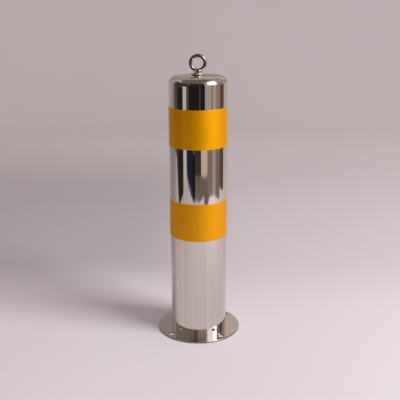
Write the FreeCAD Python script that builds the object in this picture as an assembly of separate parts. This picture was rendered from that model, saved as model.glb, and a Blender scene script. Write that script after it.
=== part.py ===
import FreeCAD, Part
import math
import os

# Portable bollard, in mm. The origin is the centre of the flange's underside, +Z is up, and the
# eye's ring lies in the XZ plane, so its hole faces -Y, the front.

# Post
POST_HEIGHT = 500.0  # floor to the top of the cap
TUBE_DIAMETER = 108.0
TUBE_WALL = 1.5
TUBE_SETBACK = 1.6  # the tube's lower end stops this far above the floor, to leave room for the weld

# Cap
CAP_SKIRT = 5.25  # straight wall below the rounded edge
CAP_EDGE_RADIUS = 14.0
CAP_CROWN_RISE = 1.5  # how much higher the crown stands than a flat top would
CAP_SEAT_DIAMETER = 26.0  # flat middle that the eye's washer sits on

# Flange
FLANGE_DIAMETER = 160.0
FLANGE_THICKNESS = 3.0
FLANGE_EDGE_ROUND = 0.6
FLANGE_SLIP = 0.1  # radial clearance round the tube
BOLT_HOLE_DIAMETER = 13.0
BOLT_OUTSET = 1.0  # how far outside the middle of the flange's width the holes lie
BOLT_HOLE_COUNT = 4
BOLT_HOLE_CHAMFER = 0.4
FIRST_BOLT_ANGLE = 39.0  # degrees from +X

# Welds
BASE_WELD_FLOOR_GAP = 0.3
BASE_WELD_BULGE = 0.25  # how far the bead's face stands out past a straight line
CAP_WELD_WIDTH = 1.5
CAP_WELD_ROOT = 0.5  # how far the bead stands proud inside the post

# Reflective tape
TAPE_WIDTH = 72.0
TAPE_THICKNESS = 0.3
GLUE_THICKNESS = 0.25  # layer of adhesive, left empty, between the tape and the tube
TAPE_OVERLAP = 12.0  # length of tape that lies on its own other end, at the back
TAPE_DROP = 57.0  # top of the post to the upper band
TAPE_SPACING = 102.5  # bare tube between the bands

# Eye bolt, M8
THREAD_DIAMETER = 8.0
EYE_HOLE_DIAMETER = 20.0
EYE_WIRE = 6.3
RING_FOOT = 0.7  # collar's underside to the ring's lowest point
COLLAR_DIAMETER = 16.0
COLLAR_HEIGHT = 5.0
COLLAR_EDGE_ROUND = 0.8
RING_ROOT_ROUND = 3.0  # blend between the ring and the collar
SHANK_PAST_NUT = 1.4
SHANK_TIP_CHAMFER = 0.8

# Washers and nut on the eye bolt's shank
CAP_HOLE_CLEARANCE = 1.0  # on diameter
WASHER_CLEARANCE = 0.4  # on diameter
EYE_WASHER_DIAMETER = 24.0
EYE_WASHER_THICKNESS = 2.0
SPRING_WASHER_DIAMETER = 14.8
SPRING_WASHER_THICKNESS = 2.0
SPRING_WASHER_SLIT = 1.2
SPRING_WASHER_SLANT = 25.0  # degrees that the slit leans from upright
INNER_WASHER_DIAMETER = 16.0
INNER_WASHER_THICKNESS = 1.6
WASHER_EDGE_ROUND = 0.3
NUT_ACROSS_FLATS = 13.0
NUT_HEIGHT = 6.5
NUT_CHAMFER_ANGLE = 30.0  # degrees
NUT_SIDES = 6

# Sizes that follow from the ones above
TUBE_RADIUS = TUBE_DIAMETER / 2
BORE_RADIUS = TUBE_RADIUS - TUBE_WALL
CAP_RISE = CAP_EDGE_RADIUS + CAP_CROWN_RISE
CAP_SHOULDER = POST_HEIGHT - CAP_RISE  # where the skirt turns into the edge
CAP_BOTTOM = CAP_SHOULDER - CAP_SKIRT
CAP_HOLE_RADIUS = (THREAD_DIAMETER + CAP_HOLE_CLEARANCE) / 2
TUBE_TOP = CAP_BOTTOM - CAP_WELD_WIDTH
FLANGE_RADIUS = FLANGE_DIAMETER / 2
FLANGE_BORE_RADIUS = TUBE_RADIUS + FLANGE_SLIP
BOLT_RADIUS = (FLANGE_RADIUS + TUBE_RADIUS) / 2 + BOLT_OUTSET
UPPER_TAPE_BOTTOM = POST_HEIGHT - TAPE_DROP - TAPE_WIDTH
LOWER_TAPE_BOTTOM = UPPER_TAPE_BOTTOM - TAPE_SPACING - TAPE_WIDTH
WASHER_HOLE_DIAMETER = THREAD_DIAMETER + WASHER_CLEARANCE
SPRING_WASHER_BOTTOM = POST_HEIGHT + EYE_WASHER_THICKNESS
COLLAR_BOTTOM = SPRING_WASHER_BOTTOM + SPRING_WASHER_THICKNESS
INNER_WASHER_BOTTOM = POST_HEIGHT - TUBE_WALL - INNER_WASHER_THICKNESS
NUT_BOTTOM = INNER_WASHER_BOTTOM - NUT_HEIGHT
SHANK_BOTTOM = NUT_BOTTOM - SHANK_PAST_NUT
RING_RADIUS = (EYE_HOLE_DIAMETER + EYE_WIRE) / 2  # to the middle of the wire
RING_CENTRE = COLLAR_BOTTOM + RING_FOOT + EYE_WIRE / 2 + RING_RADIUS

TOUCHING = 1e-4  # closer than this counts as the same place
UP = FreeCAD.Vector(0, 0, 1)
BACK = FreeCAD.Vector(0, 1, 0)
RIGHT = FreeCAD.Vector(1, 0, 0)
ORIGIN = FreeCAD.Vector(0, 0, 0)


def at(radius, height):
    """A point of a turned profile: distance from the post's axis, and height."""
    return FreeCAD.Vector(radius, 0, height)


def around(radius, degrees, height):
    """A point at a distance and a turn round the post's axis, from +X, and a height."""
    turn = math.radians(degrees)
    return FreeCAD.Vector(radius * math.cos(turn), radius * math.sin(turn), height)


def line(start, end):
    return Part.LineSegment(at(*start), at(*end)).toShape()


def arc(start, middle, end):
    return Part.Arc(at(*start), at(*middle), at(*end)).toShape()


def turned(edges):
    """A solid of revolution about the post's axis from the edges of a closed profile."""
    return Part.Face(Part.Wire(edges)).revolve(ORIGIN, UP, 360)


def turned_outline(points):
    """A solid of revolution from a closed outline of straight lines."""
    ends = points[1:] + points[:1]
    return turned([line(start, end) for start, end in zip(points, ends)])


def ring(inner_radius, outer_radius, bottom, height):
    outer = Part.makeCylinder(outer_radius, height, at(0, bottom))
    return outer.cut(Part.makeCylinder(inner_radius, height, at(0, bottom)))


def edges_at(shape, height, radius):
    """The round edges of a turned shape at one height and radius."""
    return [
        edge
        for edge in shape.Edges
        if isinstance(edge.Curve, Part.Circle)
        and math.isclose(edge.Curve.Radius, radius, abs_tol=TOUCHING)
        and math.isclose(edge.Curve.Center.z, height, abs_tol=TOUCHING)
    ]


def lies_on(edge, shape):
    """Whether the middle of an edge is on one of a shape's faces."""
    middle = Part.Vertex(edge.valueAt((edge.FirstParameter + edge.LastParameter) / 2))
    return min(middle.distToShape(face)[0] for face in shape.Faces) < TOUCHING


def shared_edges(joined, first, second):
    """The edges of a joined shape where the surfaces of its two halves meet."""
    return [edge for edge in joined.Edges if lies_on(edge, first) and lies_on(edge, second)]


def post_tube():
    return ring(BORE_RADIUS, TUBE_RADIUS, TUBE_SETBACK, TUBE_TOP - TUBE_SETBACK)


def cap_surface(inset):
    """The cap's profile from its skirt to its seat, drawn `inset` inside the outer skin.

    The edge's arc and the crown's shallow arc meet with a common tangent, and the crown runs
    level into the flat seat.
    """
    seat_radius = CAP_SEAT_DIAMETER / 2
    edge_centre = TUBE_RADIUS - CAP_EDGE_RADIUS
    reach = edge_centre - seat_radius
    crown_radius = (reach**2 + CAP_RISE**2 - CAP_EDGE_RADIUS**2) / (2 * (CAP_RISE - CAP_EDGE_RADIUS))
    crown_centre = POST_HEIGHT - crown_radius
    lean = math.atan2(reach, CAP_SHOULDER - crown_centre)  # from upright, where the two arcs meet

    def on_edge(angle):
        radius = CAP_EDGE_RADIUS - inset
        return edge_centre + radius * math.sin(angle), CAP_SHOULDER + radius * math.cos(angle)

    def on_crown(angle):
        radius = crown_radius - inset
        return seat_radius + radius * math.sin(angle), crown_centre + radius * math.cos(angle)

    level = math.pi / 2
    skirt = line((TUBE_RADIUS - inset, CAP_BOTTOM), (TUBE_RADIUS - inset, CAP_SHOULDER))
    edge = arc(on_edge(level), on_edge((level + lean) / 2), on_edge(lean))
    crown = arc(on_crown(lean), on_crown(lean / 2), on_crown(0))
    seat = line((seat_radius, POST_HEIGHT - inset), (CAP_HOLE_RADIUS, POST_HEIGHT - inset))
    return [skirt, edge, crown, seat]


def top_cap():
    outside = cap_surface(0)
    inside = cap_surface(TUBE_WALL)
    hole = line((CAP_HOLE_RADIUS, POST_HEIGHT), (CAP_HOLE_RADIUS, POST_HEIGHT - TUBE_WALL))
    rim = line((BORE_RADIUS, CAP_BOTTOM), (TUBE_RADIUS, CAP_BOTTOM))
    return turned(outside + [hole] + inside[::-1] + [rim])


def cap_weld():
    return ring(BORE_RADIUS - CAP_WELD_ROOT, TUBE_RADIUS, TUBE_TOP, CAP_WELD_WIDTH)


def base_flange():
    plate = ring(FLANGE_BORE_RADIUS, FLANGE_RADIUS, 0, FLANGE_THICKNESS)
    plate = plate.makeFillet(FLANGE_EDGE_ROUND, edges_at(plate, FLANGE_THICKNESS, FLANGE_RADIUS))
    hole_radius = BOLT_HOLE_DIAMETER / 2
    mouth_radius = hole_radius + BOLT_HOLE_CHAMFER
    for index in range(BOLT_HOLE_COUNT):
        foot = around(BOLT_RADIUS, FIRST_BOLT_ANGLE + index * 360 / BOLT_HOLE_COUNT, 0)
        hole = Part.makeCylinder(hole_radius, FLANGE_THICKNESS, foot)
        mouth_foot = foot + UP * (FLANGE_THICKNESS - BOLT_HOLE_CHAMFER)
        mouth = Part.makeCone(hole_radius, mouth_radius, BOLT_HOLE_CHAMFER, mouth_foot)
        plate = plate.cut(hole.fuse(mouth))
    return plate


def base_weld():
    """A bead in the corner between the flange's bore and the tube's end face."""
    toe = (FLANGE_BORE_RADIUS, BASE_WELD_FLOOR_GAP)
    corner = (FLANGE_BORE_RADIUS, TUBE_SETBACK)
    top = (BORE_RADIUS, TUBE_SETBACK)
    run = FLANGE_BORE_RADIUS - BORE_RADIUS
    drop = TUBE_SETBACK - BASE_WELD_FLOOR_GAP
    slope = math.hypot(run, drop)
    belly = (
        (toe[0] + top[0]) / 2 - BASE_WELD_BULGE * drop / slope,
        (toe[1] + top[1]) / 2 - BASE_WELD_BULGE * run / slope,
    )
    return turned([line(toe, corner), line(corner, top), arc(top, belly, toe)])


def reflective_band(bottom):
    """One turn of tape whose end lies over its start, centred on the back."""
    inner_radius = TUBE_RADIUS + GLUE_THICKNESS
    band = ring(inner_radius, inner_radius + TAPE_THICKNESS, bottom, TAPE_WIDTH)
    lap_angle = math.degrees(TAPE_OVERLAP / TUBE_RADIUS)
    lap_radius = inner_radius + 2 * TAPE_THICKNESS
    lap = Part.makeCylinder(lap_radius, TAPE_WIDTH, at(0, bottom), UP, lap_angle)
    lap = lap.cut(Part.makeCylinder(inner_radius, TAPE_WIDTH, at(0, bottom)))
    lap.rotate(ORIGIN, UP, 90 - lap_angle / 2)
    return band.fuse(lap).removeSplitter()


def flat_washer(diameter, thickness, bottom):
    washer = ring(WASHER_HOLE_DIAMETER / 2, diameter / 2, bottom, thickness)
    return washer.makeFillet(WASHER_EDGE_ROUND, edges_at(washer, bottom + thickness, diameter / 2))


def spring_washer():
    """A split washer, pressed flat, whose slit leans across the section."""
    outer_radius = SPRING_WASHER_DIAMETER / 2
    washer = ring(WASHER_HOLE_DIAMETER / 2, outer_radius, SPRING_WASHER_BOTTOM, SPRING_WASHER_THICKNESS)
    middle = SPRING_WASHER_BOTTOM + SPRING_WASHER_THICKNESS / 2
    height = 2 * SPRING_WASHER_THICKNESS
    corner = FreeCAD.Vector(0, -SPRING_WASHER_SLIT / 2, middle - height / 2)
    slit = Part.makeBox(2 * outer_radius, SPRING_WASHER_SLIT, height, corner)
    slit.rotate(at(0, middle), RIGHT, SPRING_WASHER_SLANT)
    return washer.cut(slit)


def lifting_eye_bolt():
    """Ring, collar and shank in one piece, with the ring's foot blended into the collar."""
    collar_radius = COLLAR_DIAMETER / 2
    collar = Part.makeCylinder(collar_radius, COLLAR_HEIGHT, at(0, COLLAR_BOTTOM))
    collar_top = COLLAR_BOTTOM + COLLAR_HEIGHT
    collar = collar.makeFillet(COLLAR_EDGE_ROUND, edges_at(collar, collar_top, collar_radius))
    eye = Part.makeTorus(RING_RADIUS, EYE_WIRE / 2, at(0, RING_CENTRE), BACK)
    head = collar.fuse(eye)
    head = head.makeFillet(RING_ROOT_ROUND, shared_edges(head, collar, eye))
    shank_radius = THREAD_DIAMETER / 2
    shank = Part.makeCylinder(shank_radius, COLLAR_BOTTOM - SHANK_BOTTOM, at(0, SHANK_BOTTOM))
    shank = shank.makeChamfer(SHANK_TIP_CHAMFER, edges_at(shank, SHANK_BOTTOM, shank_radius))
    return head.fuse(shank).removeSplitter()


def inner_nut():
    """A hexagon nut with both ends chamfered by a cone."""
    corner_radius = NUT_ACROSS_FLATS / 2 / math.cos(math.pi / NUT_SIDES)
    corners = [around(corner_radius, side * 360 / NUT_SIDES, NUT_BOTTOM) for side in range(NUT_SIDES)]
    prism = Part.Face(Part.makePolygon(corners + corners[:1])).extrude(UP * NUT_HEIGHT)
    flat_radius = NUT_ACROSS_FLATS / 2
    drop = (corner_radius - flat_radius) * math.tan(math.radians(NUT_CHAMFER_ANGLE))
    top = NUT_BOTTOM + NUT_HEIGHT
    bore_radius = THREAD_DIAMETER / 2
    turned_blank = turned_outline(
        [
            (bore_radius, NUT_BOTTOM),
            (flat_radius, NUT_BOTTOM),
            (corner_radius, NUT_BOTTOM + drop),
            (corner_radius, top - drop),
            (flat_radius, top),
            (bore_radius, top),
        ]
    )
    return prism.common(turned_blank)


PIECES = {
    "post_tube": post_tube(),
    "top_cap": top_cap(),
    "cap_weld": cap_weld(),
    "base_flange": base_flange(),
    "base_weld": base_weld(),
    "lower_reflective_band": reflective_band(LOWER_TAPE_BOTTOM),
    "upper_reflective_band": reflective_band(UPPER_TAPE_BOTTOM),
    "lifting_eye_bolt": lifting_eye_bolt(),
    "eye_washer": flat_washer(EYE_WASHER_DIAMETER, EYE_WASHER_THICKNESS, POST_HEIGHT),
    "eye_spring_washer": spring_washer(),
    "inner_washer": flat_washer(INNER_WASHER_DIAMETER, INNER_WASHER_THICKNESS, INNER_WASHER_BOTTOM),
    "inner_nut": inner_nut(),
}

os.makedirs("parts", exist_ok=True)
for name, shape in PIECES.items():
    shape.exportStep(f"parts/{name}.step")
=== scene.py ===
import math
from collections import namedtuple

import bpy
from mathutils import Matrix, Vector


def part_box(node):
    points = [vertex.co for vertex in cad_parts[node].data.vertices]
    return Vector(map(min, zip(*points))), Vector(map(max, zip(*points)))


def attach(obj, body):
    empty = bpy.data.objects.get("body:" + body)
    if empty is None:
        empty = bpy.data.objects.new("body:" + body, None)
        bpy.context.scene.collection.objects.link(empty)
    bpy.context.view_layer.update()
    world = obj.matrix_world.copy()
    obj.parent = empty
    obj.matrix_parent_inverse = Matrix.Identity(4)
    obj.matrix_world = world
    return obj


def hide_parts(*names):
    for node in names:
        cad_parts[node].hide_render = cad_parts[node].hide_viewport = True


# A polished steel bollard in a plain studio. Metres, in the CAD frame: +Z up, the front is -Y.

MM = 0.001

# Camera
CAMERA_DISTANCE = 1.285
CAMERA_HEIGHT = 0.642
CAMERA_PITCH = 16.46  # degrees below level
CAMERA_PAN = 0.14  # degrees to the right
CAMERA_ROLL = -0.19  # degrees
CAMERA_LENS = 63.0  # mm
CAMERA_SENSOR = 36.0  # mm

# Steel finishes: two tones that alternate in narrow bands, the least and the most roughness along the
# grain, and the strength of the grain's bump.
Finish = namedtuple("Finish", "light dark roughness grain_bump")
TUBE_FINISH = Finish((0.72, 0.67, 0.625), (0.63, 0.58, 0.54), (0.03, 0.07), 0.25)
CAP_FINISH = Finish((0.72, 0.675, 0.625), (0.66, 0.615, 0.57), (0.05, 0.09), 0.2)
FLANGE_FINISH = Finish((0.72, 0.665, 0.63), (0.64, 0.59, 0.56), (0.05, 0.11), 0.25)
RING_FINISH = Finish((0.30, 0.265, 0.247), (0.24, 0.215, 0.20), (0.26, 0.34), 0.3)
FLAT_WASHER_FINISH = Finish((0.74, 0.69, 0.65), (0.68, 0.63, 0.60), (0.55, 0.65), 0.5)
FASTENER_FINISH = Finish((0.57, 0.53, 0.50), (0.52, 0.48, 0.455), (0.62, 0.70), 0.5)

# Grain, bands and smears on the steel. Scales are in features per metre, and a range is the part of
# a noise that is stretched over the whole effect.
DRAWN_GRAIN_SCALE = (700, 700, 5)
DRAWN_GRAIN_DETAIL = 3.0
TURNED_GRAIN_SCALE = 1400.0
TURNED_GRAIN_DETAIL = 2.0
GRAIN_RANGE = (0.3, 0.7)
GRAIN_DEPTH = 0.02 * MM
BAND_SCALE = (240, 240, 1.5)
BAND_DETAIL = 4.0
BAND_RANGE = (0.35, 0.65)
SMEAR_SCALE = 22.0
SMEAR_DETAIL = 5.0
SMEAR_RANGE = (0.45, 0.75)
SMEAR_ROUGHNESS = 0.05  # added in the middle of a smear

# Finishes that change with height on one piece. A dulling is added to the roughness.
CHANGE_BLEND = 0.2 * MM  # half the height over which one finish becomes another
CUT_FACE_DEPTH = 0.5 * MM  # from a plate's top face down to its cut faces
CUT_FACE_TONE = (0.20, 0.175, 0.16)
FLANGE_CUT_DULLING = 0.3
WASHER_CUT_DULLING = -0.2
COLLAR_HEIGHT = 5.0 * MM
COLLAR_TONE = (0.76, 0.71, 0.665)
COLLAR_DULLING = -0.2

# Weld under the flange
TUBE_WALL = 1.5 * MM
BEAD_STEPS = 720
BEAD_RIPPLES = 150
BEAD_RIPPLE_HEIGHT = 0.12 * MM
BEAD_ARC_POINTS = 7
WELD_TONES = ((0.42, 0.36, 0.30), (0.55, 0.50, 0.47))
WELD_ROUGHNESS = (0.25, 0.5)
WELD_TINT_SCALE = 160.0
WELD_TINT_DETAIL = 4.0
WELD_TINT_RANGE = (0.3, 0.7)

# Reflective tape
TAPE_STEPS = 288  # round one turn
TAPE_EDGE_BEVEL = 0.12 * MM
TAPE_SHARP_ANGLE = 30.0  # degrees
TAPE_RAMP = 2.5  # degrees in which the end climbs over the start
TAPE_LAP = 12.7  # degrees of overlap
TAPE_TONES = ((0.94, 0.445, 0.001), (0.88, 0.415, 0.001))
TAPE_ROUGHNESS = (0.56, 0.64)
TAPE_METALLIC = 0.9
TAPE_SPECULAR = 0.2
TAPE_COAT = 0.15
TAPE_COAT_ROUGHNESS = 0.12
TAPE_BEAD_SCALE = 1500.0
TAPE_BEAD_BUMP = 0.12
TAPE_BEAD_DEPTH = 0.05 * MM
SCUFF_SCALE = 30.0
SCUFF_DETAIL = 6.0
SCUFF_RANGE = (0.35, 0.7)

# Paper sweep, its colour with painted shade in it
SWEEP_MIDDLE_RADIUS = 1.0 * MM  # of the small hole under the post
SWEEP_FLOOR_RADIUS = 2.1
SWEEP_BEND_RADIUS = 1.5
SWEEP_HEIGHT = 2.6
SWEEP_STEPS = 128
SWEEP_BEND_POINTS = 16
PAPER_ROUGHNESS = 0.9
PAPER_SPECULAR = 0.1
PAPER_RIGHT_PAINTED_SHADE = [  # Y, and the paper's colour there on the right, with painted shade in it
    (0.05, (0.725, 0.66, 0.685)),
    (0.36, (0.655, 0.59, 0.605)),
    (1.00, (0.67, 0.602, 0.613)),
    (1.90, (0.76, 0.685, 0.692)),
]
PAPER_LEFT_PAINTED_SHADE = [  # and on the left, where the painted shade and shadow are deepest
    (0.10, (0.765, 0.697, 0.724)),
    (0.38, (0.51, 0.46, 0.473)),
    (0.90, (0.52, 0.467, 0.476)),
    (1.90, (0.73, 0.658, 0.663)),
]
PAPER_SHADE_TURN = (0.15, -0.2)  # X over which the right painted shade gives way to the left

# Light
KEY_AZIMUTH = 64.0  # degrees round the post from the camera, to the picture's right
KEY_DISTANCE = 2.2
KEY_HEIGHT = 1.85
KEY_SIZE = (1.25, 1.35)
KEY_POWER = 69.0
KEY_COLOUR = (1.0, 1.03, 1.04)
KEY_TARGET = Vector((0, 0, 0.3))
SKY_COLOUR = (1.0, 0.94, 0.93)
SKY_STRENGTH = 0.45

# Glowing cards round the post that only reflections see, painted reflections that stripe the steel: name,
# azimuth and distance of the left and the right edge, foot, top, and colour. Azimuths are in degrees,
# counted as the lamp's is.
LOW_TOP = 0.16
SIDE_TOP = 0.55
BACK_TOP = 0.7
UPPER_FOOT = 0.5
UPPER_TOP = 2.2
LOW_BEHIND_FOOT = 0.6
LOW_BEHIND_TOP = 1.22
HIGH_BEHIND_FOOT = 1.2
HIGH_BEHIND_TOP = 2.1
LEFT_CARDS = [
    ("left_side_flag", (-106, 1.75), (-92, 1.60), 0.0, SIDE_TOP, (0.11, 0.10, 0.095)),
    ("left_turned_flag", (-92, 1.60), (-82, 0.92), 0.0, 0.40, (0.06, 0.055, 0.05)),
    ("left_flag", (-82, 0.92), (-60, 1.07), 0.0, 0.40, (0.024, 0.018, 0.016)),
    ("left_strip", (-59, 1.12), (-46, 1.16), 0.0, 0.45, (0.66, 0.605, 0.59)),
]
FRONT_CARDS = [  # low, to show in the tube between the bands
    ("blue_flag", (-45, 1.30), (-20, 0.98), 0.0, LOW_TOP, (0.013, 0.019, 0.038)),
    ("black_flag", (-20, 0.98), (-12, 0.96), 0.0, LOW_TOP, (0.012, 0.008, 0.008)),
    ("brown_flag", (-12, 1.32), (11, 1.32), 0.0, LOW_TOP, (0.06, 0.036, 0.028)),
    ("beige_card", (11, 1.32), (38, 1.32), 0.0, 0.14, (0.70, 0.55, 0.44)),
]
CAMERA_CARDS = [  # behind and beside the camera
    ("back_grey_flag", (-46, 1.75), (-36, 1.75), 0.0, BACK_TOP, (0.09, 0.08, 0.078)),
    ("back_flag", (-36, 1.75), (27, 1.75), 0.0, BACK_TOP, (0.017, 0.013, 0.012)),
    ("back_strip", (5, 1.70), (9, 1.70), 0.0, BACK_TOP, (0.10, 0.09, 0.085)),
    ("back_grey_card", (27, 1.75), (46, 1.75), 0.0, BACK_TOP, (0.44, 0.42, 0.41)),
]
RIGHT_CARDS = [
    ("right_edge_card", (46, 1.72), (52, 1.72), 0.0, SIDE_TOP, (0.52, 0.40, 0.35)),
    ("right_dull_card", (52, 1.72), (60, 1.72), 0.0, SIDE_TOP, (0.30, 0.235, 0.205)),
    ("right_low_flag", (36, 1.04), (58, 1.04), 0.0, LOW_TOP, (0.25, 0.195, 0.17)),
    ("right_low_card", (58, 1.04), (71, 1.02), 0.0, LOW_TOP, (0.48, 0.395, 0.35)),
    ("right_low_brown", (71, 1.02), (93, 0.98), 0.0, LOW_TOP, (0.24, 0.185, 0.155)),
    ("right_card", (60, 1.50), (72, 1.42), 0.0, SIDE_TOP, (0.58, 0.44, 0.375)),
    ("right_brown", (72, 1.42), (93, 1.30), 0.0, SIDE_TOP, (0.36, 0.25, 0.20)),
    ("right_flag", (93, 1.12), (117, 1.08), 0.0, SIDE_TOP, (0.13, 0.08, 0.06)),
]
HIGH_CARDS = [  # held up off the floor
    ("upper_left_flag", (-115, 2.40), (-22, 2.40), UPPER_FOOT, UPPER_TOP, (0.30, 0.26, 0.235)),
    ("upper_flag", (-22, 2.40), (-4, 2.40), UPPER_FOOT, UPPER_TOP, (0.21, 0.165, 0.145)),
    ("upper_right_flag", (-4, 2.40), (45, 2.40), UPPER_FOOT, UPPER_TOP, (0.50, 0.415, 0.37)),
    ("left_high_card", (-112, 1.60), (-86, 1.60), 1.85, 2.30, (0.75, 0.70, 0.68)),
    ("left_near_flag", (-100, 0.80), (-37, 0.80), 0.44, 1.00, (0.05, 0.042, 0.04)),
    ("gap_flag", (-36, 1.20), (27, 1.20), 0.62, 0.80, (0.03, 0.023, 0.02)),
    ("high_flag", (-36, 1.75), (27, 1.75), 0.9, 1.8, (0.035, 0.026, 0.022)),
    ("bright_card", (36, 2.10), (66, 2.10), 0.85, 1.3, (1.5, 1.42, 1.38)),
]
BEHIND_CARDS = [  # held up behind the post
    ("low_back_flag", (130, 2.70), (180, 2.70), LOW_BEHIND_FOOT, LOW_BEHIND_TOP, (0.32, 0.275, 0.265)),
    ("low_back_card", (180, 2.70), (230, 2.70), LOW_BEHIND_FOOT, LOW_BEHIND_TOP, (0.39, 0.335, 0.325)),
    ("high_back_card", (140, 2.60), (181, 2.60), HIGH_BEHIND_FOOT, HIGH_BEHIND_TOP, (0.64, 0.53, 0.45)),
    ("high_back_flag", (181, 2.60), (222, 2.60), HIGH_BEHIND_FOOT, HIGH_BEHIND_TOP, (0.33, 0.265, 0.25)),
]
STANDING_CARDS = LEFT_CARDS + FRONT_CARDS + CAMERA_CARDS + RIGHT_CARDS + HIGH_CARDS + BEHIND_CARDS
CARD_FOLD = 25.0  # degrees between the folds of a wide card

# Cards that lie flat, for the same use: name, X and Y range, height, and colour.
FLOOR_CARD_HEIGHT = 0.5 * MM
FLOOR_CARD_TONE = (0.19, 0.14, 0.115)
CEILING = 2.4
FLAT_CARDS = [
    ("floor_card", (-2.6, 2.6), (-2.6, -0.97), FLOOR_CARD_HEIGHT, FLOOR_CARD_TONE),
    ("floor_card_right", (0.38, 0.85), (-0.97, -0.74), FLOOR_CARD_HEIGHT, FLOOR_CARD_TONE),
    ("top_flag", (-2.4, 0.9), (-2.4, 0.55), CEILING, (0.17, 0.135, 0.115)),
    ("top_back_card", (-2.4, 2.4), (0.55, 2.8), CEILING, (0.40, 0.34, 0.305)),
]

# Places of the sockets that a Mix node uses for colours
MIX_FACTOR = 0
MIX_FIRST = 6
MIX_SECOND = 7
MIX_RESULT = 2


def link(thing):
    bpy.context.scene.collection.objects.link(thing)
    return thing


def mesh_object(name, points, faces):
    mesh = bpy.data.meshes.new(name)
    mesh.from_pydata(points, [], faces)
    mesh.validate()
    mesh.shade_smooth()
    return link(bpy.data.objects.new(name, mesh))


def grid_faces(columns, rows, wrap_columns, wrap_rows):
    """Quads between neighbouring points of a grid stored column by column."""
    faces = []
    for column in range(columns if wrap_columns else columns - 1):
        here = column * rows
        beside = (column + 1) % columns * rows
        for row in range(rows if wrap_rows else rows - 1):
            above = (row + 1) % rows
            faces.append((here + row, beside + row, beside + above, here + above))
    return faces


def around(radius, degrees, height):
    turn = math.radians(degrees)
    return Vector((radius * math.cos(turn), radius * math.sin(turn), height))


def facing(azimuth, distance, height):
    """A point at an azimuth, counted round the post from the camera to the picture's right."""
    return around(distance, azimuth - 90, height)


def smooth_step(value):
    """0 below 0, 1 above 1, and a smooth climb between."""
    inside = min(max(value, 0), 1)
    return inside * inside * (3 - 2 * inside)


def plug(tree, made, inputs):
    """Links each input that is given as a socket, and sets any other."""
    for key, value in inputs.items():
        if isinstance(value, bpy.types.NodeSocket):
            tree.links.new(value, made.inputs[key])
        else:
            made.inputs[key].default_value = value


def node(tree, kind, inputs=None, **settings):
    """Adds a shader node with its settings and inputs."""
    made = tree.nodes.new(kind)
    for key, value in settings.items():
        setattr(made, key, value)
    plug(tree, made, inputs or {})
    return made


def new_material(name):
    made = bpy.data.materials.new(name)
    made.use_nodes = True
    tree = made.node_tree
    return made, tree, tree.nodes["Principled BSDF"]


def rgba(colour):
    return (*colour, 1.0)


def object_position(tree):
    return node(tree, "ShaderNodeTexCoord").outputs["Object"]


def place_xyz(tree):
    """The X, Y and Z of a point on the surface."""
    return node(tree, "ShaderNodeSeparateXYZ", {"Vector": object_position(tree)}).outputs


def axis_distance(tree, position):
    """Distance from the post's axis."""
    flat = node(tree, "ShaderNodeVectorMath", {0: position, 1: (1, 1, 0)}, operation="MULTIPLY")
    length = node(tree, "ShaderNodeVectorMath", {0: flat.outputs["Vector"]}, operation="LENGTH")
    return length.outputs["Value"]


def ranged(tree, value, source, target, smooth=False):
    """Carries a value from one range over to another."""
    inputs = {
        "Value": value,
        "From Min": source[0],
        "From Max": source[1],
        "To Min": target[0],
        "To Max": target[1],
    }
    interpolation = "SMOOTHSTEP" if smooth else "LINEAR"
    return node(tree, "ShaderNodeMapRange", inputs, interpolation_type=interpolation).outputs["Result"]


def added(tree, first, second):
    return node(tree, "ShaderNodeMath", {0: first, 1: second}, operation="ADD").outputs["Value"]


def mixed(tree, factor, first, second):
    """Blends two colours, each a socket or written out."""
    inputs = {MIX_FACTOR: factor}
    for socket, value in ((MIX_FIRST, first), (MIX_SECOND, second)):
        inputs[socket] = value if isinstance(value, bpy.types.NodeSocket) else rgba(value)
    return node(tree, "ShaderNodeMix", inputs, data_type="RGBA").outputs[MIX_RESULT]


def noise(tree, position, scale, detail):
    inputs = {"Vector": position, "Scale": scale, "Detail": detail}
    return node(tree, "ShaderNodeTexNoise", inputs).outputs["Fac"]


def stretched_noise(tree, position, scale, detail):
    """Noise with a scale of its own along each axis."""
    stretched = node(tree, "ShaderNodeMapping", {"Vector": position, "Scale": scale})
    return noise(tree, stretched.outputs["Vector"], 1.0, detail)


def bumped(tree, height, strength, depth):
    inputs = {"Height": height, "Strength": strength, "Distance": depth}
    return node(tree, "ShaderNodeBump", inputs).outputs["Normal"]


def drawn_grain(tree, position):
    """Fine upright streaks, as a tube has from polishing along its length."""
    return stretched_noise(tree, position, DRAWN_GRAIN_SCALE, DRAWN_GRAIN_DETAIL)


def turned_grain(tree, position):
    """Fine rings about the post's axis, as a pressing or plate has from polishing as it turns."""
    inputs = {
        "W": axis_distance(tree, position),
        "Scale": TURNED_GRAIN_SCALE,
        "Detail": TURNED_GRAIN_DETAIL,
    }
    return node(tree, "ShaderNodeTexNoise", inputs, noise_dimensions="1D").outputs["Fac"]


def steel(name, finish, grain):
    """Stainless steel with a grain, faint smears, and narrow upright bands left by the polishing belt."""
    made, tree, shader = new_material(name)
    position = object_position(tree)
    streaks = grain(tree, position)
    bands = stretched_noise(tree, position, BAND_SCALE, BAND_DETAIL)
    smears = noise(tree, position, SMEAR_SCALE, SMEAR_DETAIL)
    shade = ranged(tree, bands, BAND_RANGE, (0.0, 1.0))
    streak_roughness = ranged(tree, streaks, GRAIN_RANGE, finish.roughness)
    smear_roughness = ranged(tree, smears, SMEAR_RANGE, (0.0, SMEAR_ROUGHNESS))
    inputs = {
        "Base Color": mixed(tree, shade, finish.light, finish.dark),
        "Roughness": added(tree, streak_roughness, smear_roughness),
        "Normal": bumped(tree, streaks, finish.grain_bump, GRAIN_DEPTH),
        "Metallic": 1.0,
    }
    plug(tree, shader, inputs)
    return made


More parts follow.
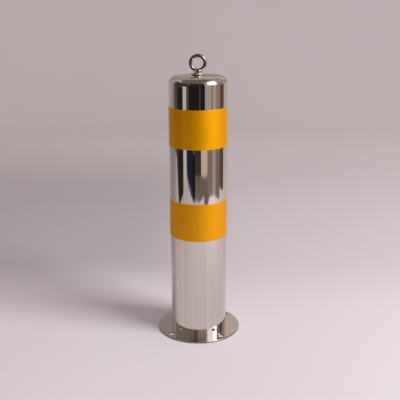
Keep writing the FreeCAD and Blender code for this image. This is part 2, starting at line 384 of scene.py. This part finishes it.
def change_below(made, height, colour, roughness_change):
    """Gives a steel another tone and another polish below a height."""
    tree = made.node_tree
    shader = tree.nodes["Principled BSDF"]
    blend = (height - CHANGE_BLEND, height + CHANGE_BLEND)
    below = ranged(tree, place_xyz(tree)["Z"], blend, (1.0, 0.0))
    change = ranged(tree, below, (0.0, 1.0), (0.0, roughness_change))
    polish = shader.inputs["Roughness"].links[0].from_socket
    tone = shader.inputs["Base Color"].links[0].from_socket
    inputs = {
        "Base Color": mixed(tree, below, tone, colour),
        "Roughness": added(tree, polish, change),
    }
    plug(tree, shader, inputs)


def flange_steel():
    """Polished steel, dull and dark at the rim, in the holes and underneath."""
    made = steel("flange_steel", FLANGE_FINISH, turned_grain)
    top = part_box("base_flange")[1].z
    change_below(made, top - CUT_FACE_DEPTH, CUT_FACE_TONE, FLANGE_CUT_DULLING)
    return made


def flat_washer_steel():
    """A dull pale top with a dark sheared rim."""
    made = steel("flat_washer_steel", FLAT_WASHER_FINISH, turned_grain)
    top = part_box("eye_washer")[1].z
    change_below(made, top - CUT_FACE_DEPTH, CUT_FACE_TONE, WASHER_CUT_DULLING)
    return made


def eye_steel():
    """A dull, dark forged ring on a bright turned collar and shank."""
    made = steel("eye_steel", RING_FINISH, drawn_grain)
    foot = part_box("eye_spring_washer")[1].z
    change_below(made, foot + COLLAR_HEIGHT, COLLAR_TONE, COLLAR_DULLING)
    return made


def weld_steel():
    """Weld metal with a patchy heat tint."""
    made, tree, shader = new_material("weld_steel")
    tint = noise(tree, object_position(tree), WELD_TINT_SCALE, WELD_TINT_DETAIL)
    inputs = {
        "Base Color": mixed(tree, tint, *WELD_TONES),
        "Roughness": ranged(tree, tint, WELD_TINT_RANGE, WELD_ROUGHNESS),
        "Metallic": 1.0,
    }
    plug(tree, shader, inputs)
    return made


def yellow_tape():
    """Reflective film: a clear face over a yellow metallised layer of fine beads, a little scuffed."""
    made, tree, shader = new_material("yellow_tape")
    position = object_position(tree)
    cells = node(tree, "ShaderNodeTexVoronoi", {"Vector": position, "Scale": TAPE_BEAD_SCALE})
    scuffs = noise(tree, position, SCUFF_SCALE, SCUFF_DETAIL)
    inputs = {
        "Base Color": mixed(tree, scuffs, *TAPE_TONES),
        "Roughness": ranged(tree, scuffs, SCUFF_RANGE, TAPE_ROUGHNESS),
        "Normal": bumped(tree, cells.outputs["Distance"], TAPE_BEAD_BUMP, TAPE_BEAD_DEPTH),
        "Metallic": TAPE_METALLIC,
        "Specular IOR Level": TAPE_SPECULAR,
        "Coat Weight": TAPE_COAT,
        "Coat Roughness": TAPE_COAT_ROUGHNESS,
    }
    plug(tree, shader, inputs)
    return made


def tape_section(inner, outer, low, high):
    """Radius and height of the corners of the tape's section, with its outer edges bevelled."""
    return [
        (inner, low),
        (outer - TAPE_EDGE_BEVEL, low),
        (outer, low + TAPE_EDGE_BEVEL),
        (outer, high - TAPE_EDGE_BEVEL),
        (outer - TAPE_EDGE_BEVEL, high),
        (inner, high),
    ]


def tape_band(cad_node, tube_radius):
    """One turn of tape whose end climbs over its start at the back, in place of a CAD band."""
    low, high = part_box(cad_node)
    under = high.x - tube_radius  # film and adhesive
    over = high.y - high.x  # the film that lies on top
    start = 90 - TAPE_LAP / 2
    turn = 360 + TAPE_LAP
    steps = round(TAPE_STEPS * turn / 360)
    points = []
    for step in range(steps + 1):
        gone = turn * step / steps
        climb = smooth_step((gone - 360 + TAPE_RAMP) / TAPE_RAMP)
        inner = tube_radius + under * climb
        outer = tube_radius + under + over * climb
        section = tape_section(inner, outer, low.z, high.z)
        points += [around(radius, start + gone, height) for radius, height in section]
    rows = len(section)
    faces = grid_faces(steps + 1, rows, wrap_columns=False, wrap_rows=True)
    faces.append(tuple(range(rows)))
    faces.append(tuple(steps * rows + row for row in reversed(range(rows))))
    band = mesh_object(cad_node + "_film", points, faces)
    band.data.set_sharp_from_angle(angle=math.radians(TAPE_SHARP_ANGLE))
    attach(band, "root")
    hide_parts(cad_node)
    return band


def weld_bead(cad_node):
    """The bead under the flange with the ripples of a hand-laid weld, in place of the CAD ring."""
    low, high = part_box(cad_node)
    outer = high.x
    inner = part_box("post_tube")[1].x - TUBE_WALL
    top = high.z
    foot = low.z + BEAD_RIPPLE_HEIGHT
    points = []
    for step in range(BEAD_STEPS):
        angle = 360 * step / BEAD_STEPS
        ripple = BEAD_RIPPLE_HEIGHT * abs(math.sin(math.radians(angle * BEAD_RIPPLES / 2)))
        points.append(around(outer, angle, top))
        for index in range(BEAD_ARC_POINTS):
            along = index / (BEAD_ARC_POINTS - 1)
            bulge = ripple * math.sin(math.pi * along)
            radius = inner + (outer - inner) * along - bulge
            height = top + (foot - top) * along - bulge
            points.append(around(radius, angle, height))
    faces = grid_faces(BEAD_STEPS, BEAD_ARC_POINTS + 1, wrap_columns=True, wrap_rows=True)
    bead = mesh_object("base_weld_bead", points, faces)
    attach(bead, "root")
    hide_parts(cad_node)
    return bead


def dress(thing, made):
    thing.data.materials.clear()
    thing.data.materials.append(made)


def dress_object(nodes):
    tube_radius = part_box("post_tube")[1].x
    tube_steel = steel("tube_steel", TUBE_FINISH, drawn_grain)
    cap_steel = steel("cap_steel", CAP_FINISH, turned_grain)
    washer_steel = steel("washer_steel", FASTENER_FINISH, turned_grain)
    for name in ("post_tube", "cap_weld"):
        dress(nodes[name], tube_steel)
    dress(nodes["top_cap"], cap_steel)
    dress(nodes["base_flange"], flange_steel())
    dress(nodes["lifting_eye_bolt"], eye_steel())
    dress(nodes["eye_washer"], flat_washer_steel())
    for name in ("eye_spring_washer", "inner_washer", "inner_nut"):
        dress(nodes[name], washer_steel)
    tape = yellow_tape()
    for name in ("lower_reflective_band", "upper_reflective_band"):
        dress(tape_band(name, tube_radius), tape)
    dress(weld_bead("base_weld"), weld_steel())


def add_camera():
    lens = bpy.data.cameras.new("camera")
    lens.lens = CAMERA_LENS
    lens.sensor_width = CAMERA_SENSOR
    camera = link(bpy.data.objects.new("camera", lens))
    place = Matrix.Translation((0, -CAMERA_DISTANCE, CAMERA_HEIGHT))
    pan = Matrix.Rotation(math.radians(-CAMERA_PAN), 4, "Z")
    tilt = Matrix.Rotation(math.radians(90 - CAMERA_PITCH), 4, "X")
    roll = Matrix.Rotation(math.radians(CAMERA_ROLL), 4, "Z")
    camera.matrix_world = place @ pan @ tilt @ roll
    bpy.context.scene.camera = camera


def painted_shade_ramp(tree, depth, tones):
    """Paper colours with painted shade in them, blending into each other from the front to the back."""
    front, back = tones[0][0], tones[-1][0]
    along = ranged(tree, depth, (front, back), (0.0, 1.0))
    ramp = node(tree, "ShaderNodeValToRGB", {"Fac": along})
    ramp.color_ramp.interpolation = "EASE"
    stops = ramp.color_ramp.elements
    while len(stops) < len(tones):
        stops.new(1.0)
    for stop, (place, colour) in zip(stops, tones):
        stop.position = (place - front) / (back - front)
        stop.color = rgba(colour)
    return ramp.outputs["Color"]


def paper_with_painted_shade():
    """Pale paper with painted shade and shadow: darker behind the post and most of all to its left, away
    from the key light.
    """
    made, tree, shader = new_material("paper_with_painted_shade")
    place = place_xyz(tree)
    side = ranged(tree, place["X"], PAPER_SHADE_TURN, (0.0, 1.0), smooth=True)
    right = painted_shade_ramp(tree, place["Y"], PAPER_RIGHT_PAINTED_SHADE)
    left = painted_shade_ramp(tree, place["Y"], PAPER_LEFT_PAINTED_SHADE)
    inputs = {
        "Base Color": mixed(tree, side, right, left),
        "Roughness": PAPER_ROUGHNESS,
        "Specular IOR Level": PAPER_SPECULAR,
    }
    plug(tree, shader, inputs)
    return made


def add_sweep():
    """A round studio floor that bends up into a wall on every side."""
    profile = [(SWEEP_MIDDLE_RADIUS, 0.0), (SWEEP_FLOOR_RADIUS, 0.0)]
    for index in range(1, SWEEP_BEND_POINTS + 1):
        turn = math.pi / 2 * index / SWEEP_BEND_POINTS
        radius = SWEEP_FLOOR_RADIUS + SWEEP_BEND_RADIUS * math.sin(turn)
        profile.append((radius, SWEEP_BEND_RADIUS * (1 - math.cos(turn))))
    profile.append((SWEEP_FLOOR_RADIUS + SWEEP_BEND_RADIUS, SWEEP_HEIGHT))
    points = [
        around(radius, 360 * step / SWEEP_STEPS, height)
        for step in range(SWEEP_STEPS)
        for radius, height in profile
    ]
    faces = grid_faces(SWEEP_STEPS, len(profile), wrap_columns=True, wrap_rows=False)
    sweep = mesh_object("sweep", points, faces)
    dress(sweep, paper_with_painted_shade())


def glow(name, colour):
    made = bpy.data.materials.new(name)
    made.use_nodes = True
    tree = made.node_tree
    tree.nodes.clear()
    light = node(tree, "ShaderNodeEmission", {"Color": rgba(colour), "Strength": 1.0})
    node(tree, "ShaderNodeOutputMaterial", {"Surface": light.outputs["Emission"]})
    return made


def add_card(name, points, colour):
    """A glowing card that only reflections see, a painted reflection: it gives no light and casts no
    shadow.
    """
    card = mesh_object(name, points, grid_faces(len(points) // 2, 2, wrap_columns=False, wrap_rows=False))
    card.visible_camera = False
    card.visible_diffuse = False
    card.visible_shadow = False
    dress(card, glow(name, colour))


def add_cards():
    for name, (left, left_distance), (right, right_distance), foot, top, colour in STANDING_CARDS:
        steps = max(1, round((right - left) / CARD_FOLD))
        points = []
        for step in range(steps + 1):
            along = step / steps
            azimuth = left + (right - left) * along
            distance = left_distance + (right_distance - left_distance) * along
            points += [facing(azimuth, distance, foot), facing(azimuth, distance, top)]
        add_card(name, points, colour)
    for name, across, along, height, colour in FLAT_CARDS:
        points = [(x, y, height) for x in across for y in along]
        add_card(name, points, colour)


def add_lights():
    lamp = bpy.data.lights.new("key", "AREA")
    lamp.shape = "RECTANGLE"
    lamp.size, lamp.size_y = KEY_SIZE
    lamp.energy = KEY_POWER
    lamp.color = KEY_COLOUR
    key = link(bpy.data.objects.new("key", lamp))
    place = facing(KEY_AZIMUTH, KEY_DISTANCE, KEY_HEIGHT)
    aim = (KEY_TARGET - place).to_track_quat("-Z", "Y")
    key.matrix_world = Matrix.Translation(place) @ aim.to_matrix().to_4x4()
    key.visible_camera = False
    world = bpy.data.worlds.new("studio")
    world.use_nodes = True
    sky = world.node_tree.nodes["Background"]
    sky.inputs["Color"].default_value = rgba(SKY_COLOUR)
    sky.inputs["Strength"].default_value = SKY_STRENGTH
    bpy.context.scene.world = world


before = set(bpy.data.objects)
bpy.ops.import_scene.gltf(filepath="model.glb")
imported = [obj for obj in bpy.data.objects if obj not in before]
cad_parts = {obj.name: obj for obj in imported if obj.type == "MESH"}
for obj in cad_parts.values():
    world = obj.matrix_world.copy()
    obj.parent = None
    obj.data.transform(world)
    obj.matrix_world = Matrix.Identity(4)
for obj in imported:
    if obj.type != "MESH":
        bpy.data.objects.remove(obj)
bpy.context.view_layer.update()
dress_object(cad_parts)
add_camera()
add_sweep()
add_cards()
add_lights()
bpy.context.scene.view_settings.view_transform = "Standard"
